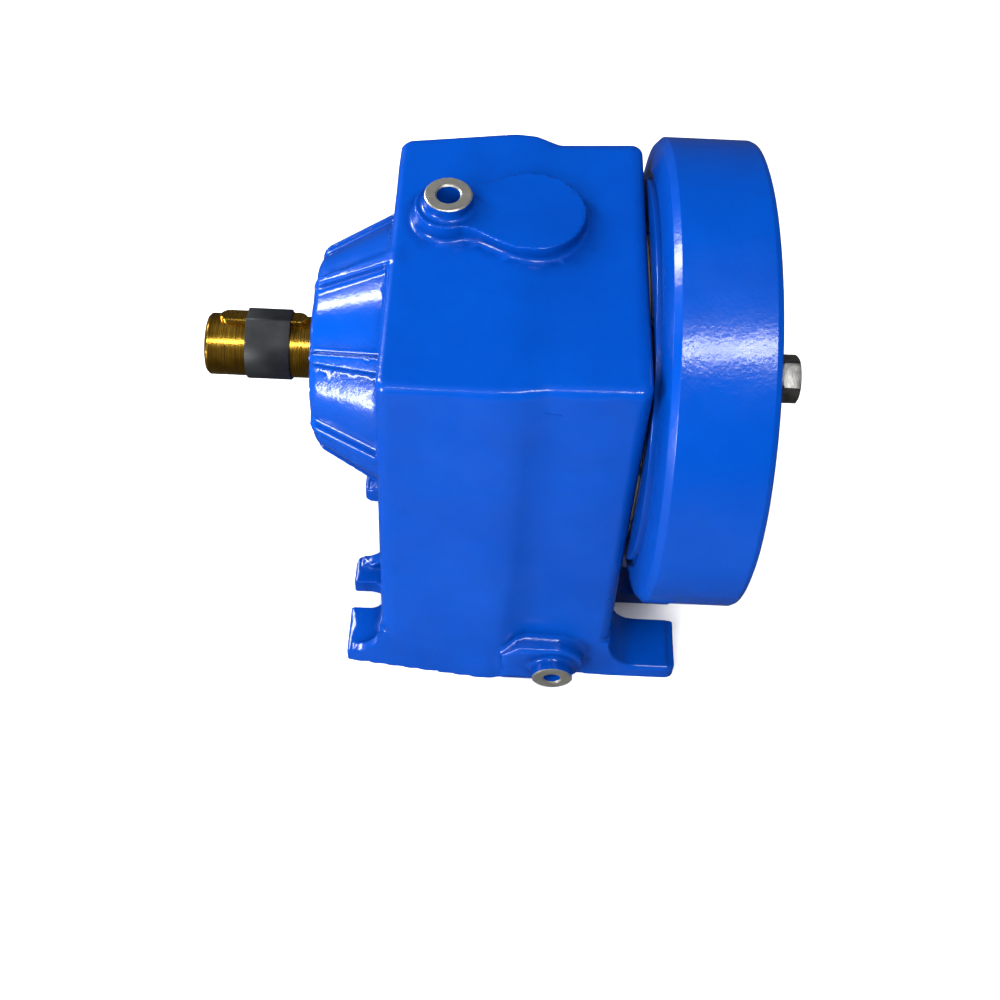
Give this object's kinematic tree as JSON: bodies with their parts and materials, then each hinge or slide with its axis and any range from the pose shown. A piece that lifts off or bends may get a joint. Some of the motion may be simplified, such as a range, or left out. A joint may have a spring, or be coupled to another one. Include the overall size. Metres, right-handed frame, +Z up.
{
  "type": "helical gear reducer",
  "caption": "Foot-mounted in-line helical gear reducer: blue cast housing with a fluted nose, keyed output shaft and a large round motor flange.",
  "frame": {"origin": "centre of the whole object's box in plan, on the foot plane", "axes": "-X along the output shaft towards its free end, +X towards the motor, -Y towards the drain side, +Z up"},
  "size_m": [0.3536, 0.3, 0.368],
  "materials": {
    "blue_enamel": "glossy blue enamel over an as-cast surface",
    "varnished_steel": "turned steel under a gold-tinted rust-preventive varnish",
    "dark_steel": "blackened steel",
    "gear_steel": "ground steel",
    "bearing_steel": "polished bearing steel",
    "black_plastic": "matt black protective band",
    "seal_rubber": "nitrile rubber",
    "gasket_paper": "fibre gasket sheet"
  },
  "bodies": {
    "casing": {"housing": "blue_enamel", "motor_flange": "blue_enamel", "flange_gasket": "gasket_paper", "output_oil_seal": "seal_rubber", "output_bore_circlip": "dark_steel", "input_bore_circlip": "dark_steel", "input_oil_seal": "seal_rubber", "motor_bolt": "dark_steel", "output_front_bearing_outer_ring": "bearing_steel", "output_rear_bearing_outer_ring": "bearing_steel", "layshaft_front_bearing_outer_ring": "bearing_steel", "layshaft_rear_bearing_outer_ring": "bearing_steel", "input_inner_bearing_outer_ring": "bearing_steel", "input_outer_bearing_outer_ring": "bearing_steel", "flange_screw_1": "dark_steel", "flange_screw_2": "dark_steel", "flange_screw_3": "dark_steel", "flange_screw_4": "dark_steel", "flange_screw_5": "dark_steel", "flange_screw_6": "dark_steel", "flange_screw_7": "dark_steel", "flange_screw_8": "dark_steel"},
    "output_train": {"output_shaft": "varnished_steel", "output_key": "varnished_steel", "shaft_guard_band": "black_plastic", "output_shaft_spacer": "gear_steel", "output_gear": "gear_steel", "output_gear_key": "gear_steel", "output_gear_circlip": "dark_steel", "output_front_bearing_inner_ring": "bearing_steel", "output_rear_bearing_inner_ring": "bearing_steel"},
    "layshaft_train": {"layshaft": "gear_steel", "layshaft_gear": "gear_steel", "layshaft_gear_key": "gear_steel", "layshaft_circlip": "dark_steel", "layshaft_front_bearing_inner_ring": "bearing_steel", "layshaft_rear_bearing_inner_ring": "bearing_steel"},
    "input_train": {"input_shaft": "gear_steel", "input_inner_bearing_inner_ring": "bearing_steel", "input_outer_bearing_inner_ring": "bearing_steel"},
    "output_balls": {"output_front_bearing_balls": "bearing_steel", "output_rear_bearing_balls": "bearing_steel"},
    "layshaft_balls": {"layshaft_front_bearing_balls": "bearing_steel", "layshaft_rear_bearing_balls": "bearing_steel"},
    "input_balls": {"input_inner_bearing_balls": "bearing_steel", "input_outer_bearing_balls": "bearing_steel"}
  },
  "joints": [
    {"name": "output_spin", "type": "hinge", "parent": "casing", "child": "output_train", "pos_m": [0, 0, 0.225], "axis": [1, 0, 0], "continuous": true},
    {"name": "layshaft_spin", "type": "hinge", "parent": "casing", "child": "layshaft_train", "pos_m": [0, 0, 0.14], "axis": [1, 0, 0], "continuous": true},
    {"name": "input_spin", "type": "hinge", "parent": "casing", "child": "input_train", "pos_m": [0, 0, 0.218], "axis": [1, 0, 0], "continuous": true},
    {"name": "output_ball_spin", "type": "hinge", "parent": "casing", "child": "output_balls", "pos_m": [0, 0, 0.225], "axis": [1, 0, 0], "continuous": true},
    {"name": "layshaft_ball_spin", "type": "hinge", "parent": "casing", "child": "layshaft_balls", "pos_m": [0, 0, 0.14], "axis": [1, 0, 0], "continuous": true},
    {"name": "input_ball_spin", "type": "hinge", "parent": "casing", "child": "input_balls", "pos_m": [0, 0, 0.218], "axis": [1, 0, 0], "continuous": true}
  ],
  "couplings": [
    {"joint": "layshaft_spin", "follows": "output_spin", "ratio": -2.7778},
    {"joint": "input_spin", "follows": "output_spin", "ratio": 11.667},
    {"joint": "output_ball_spin", "follows": "output_spin", "ratio": 0.405},
    {"joint": "layshaft_ball_spin", "follows": "output_spin", "ratio": -1.0278},
    {"joint": "input_ball_spin", "follows": "output_spin", "ratio": 4.6667}
  ]
}
